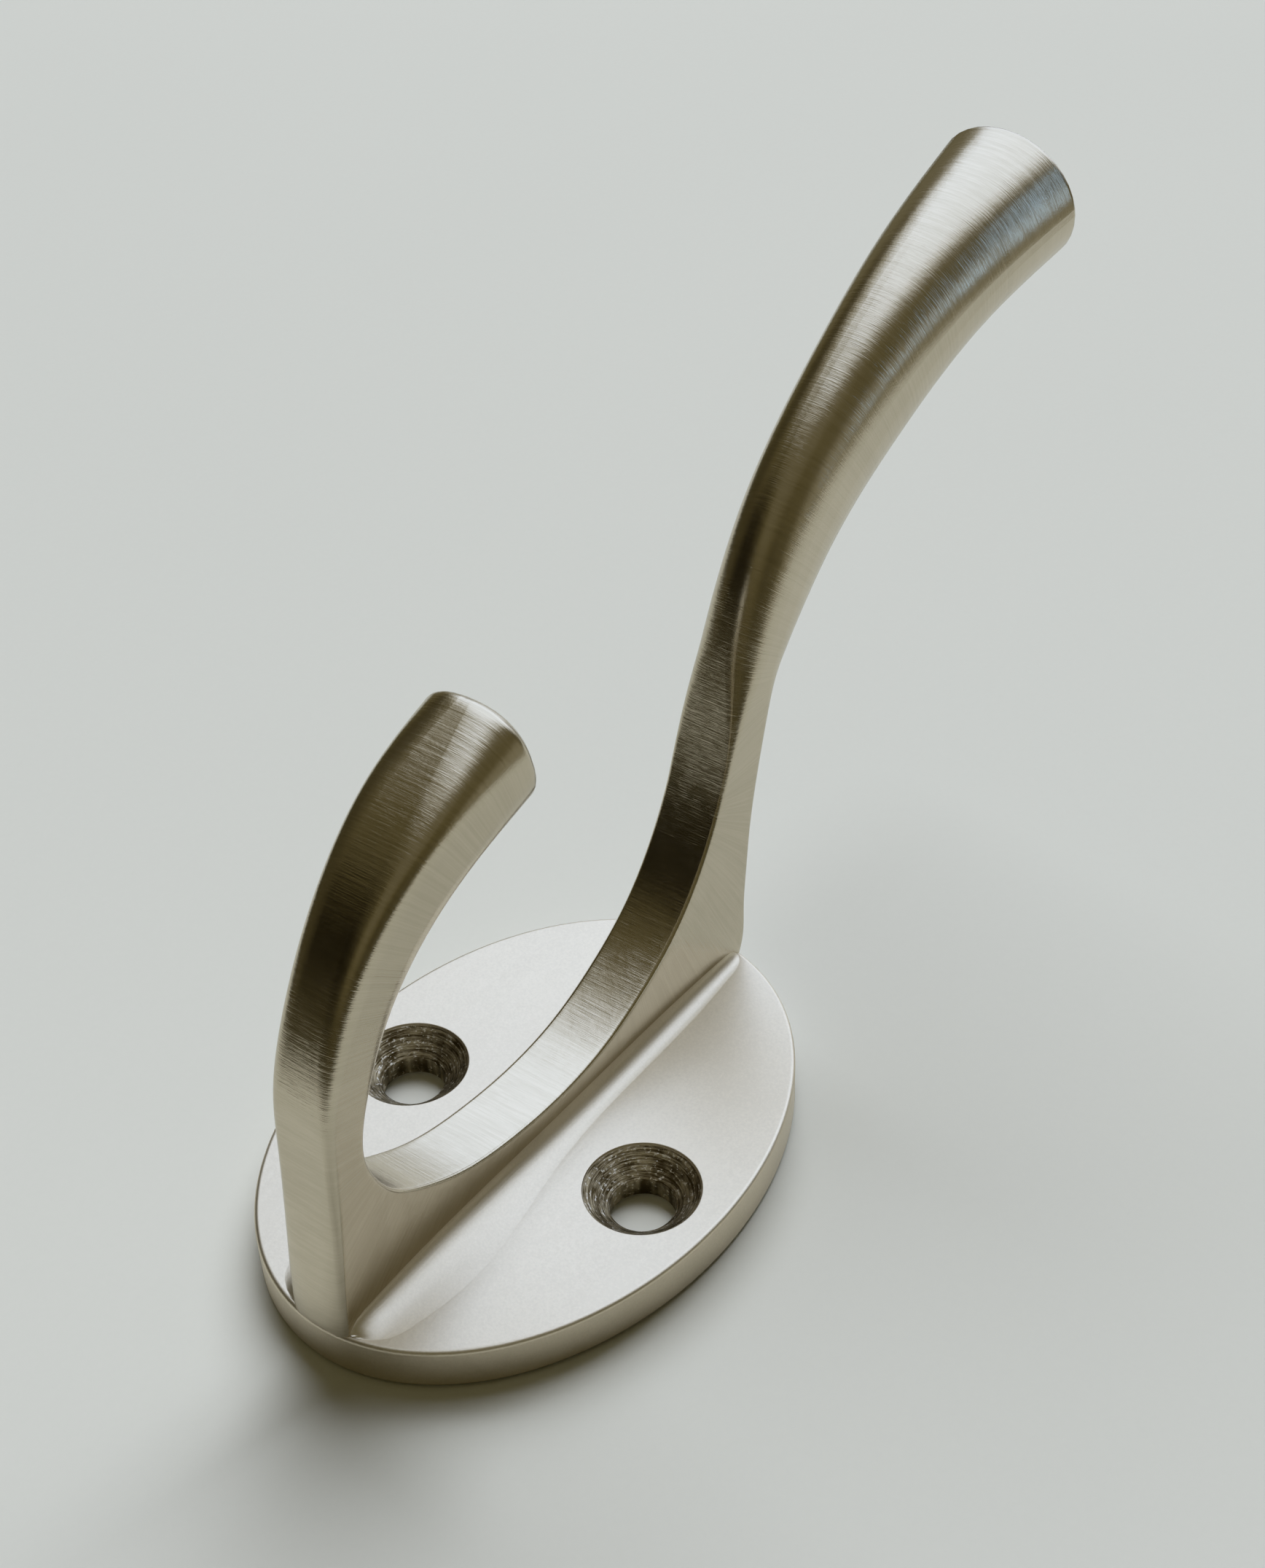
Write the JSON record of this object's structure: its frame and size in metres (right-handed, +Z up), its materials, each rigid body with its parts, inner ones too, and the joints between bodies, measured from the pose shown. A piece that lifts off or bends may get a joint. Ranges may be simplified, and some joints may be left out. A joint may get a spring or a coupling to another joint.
{
  "type": "hat and coat hook",
  "caption": "Wall hook with a long upper hat prong and a short lower coat prong on an upright web and an oval screw-fixed backplate.",
  "frame": {"origin": "middle of the oval backplate's back face, on the wall plane", "axes": "+Z up as mounted, towards the hat prong; +Y into the wall, so the prongs reach out along -Y; +X across"},
  "size_m": [0.037, 0.061, 0.0954],
  "materials": {
    "satin_nickel": "satin nickel, finely brushed across each prong"
  },
  "bodies": {
    "root": {"backplate": "satin_nickel", "web": "satin_nickel", "hat_prong": "satin_nickel", "coat_prong": "satin_nickel"}
  },
  "joints": []
}
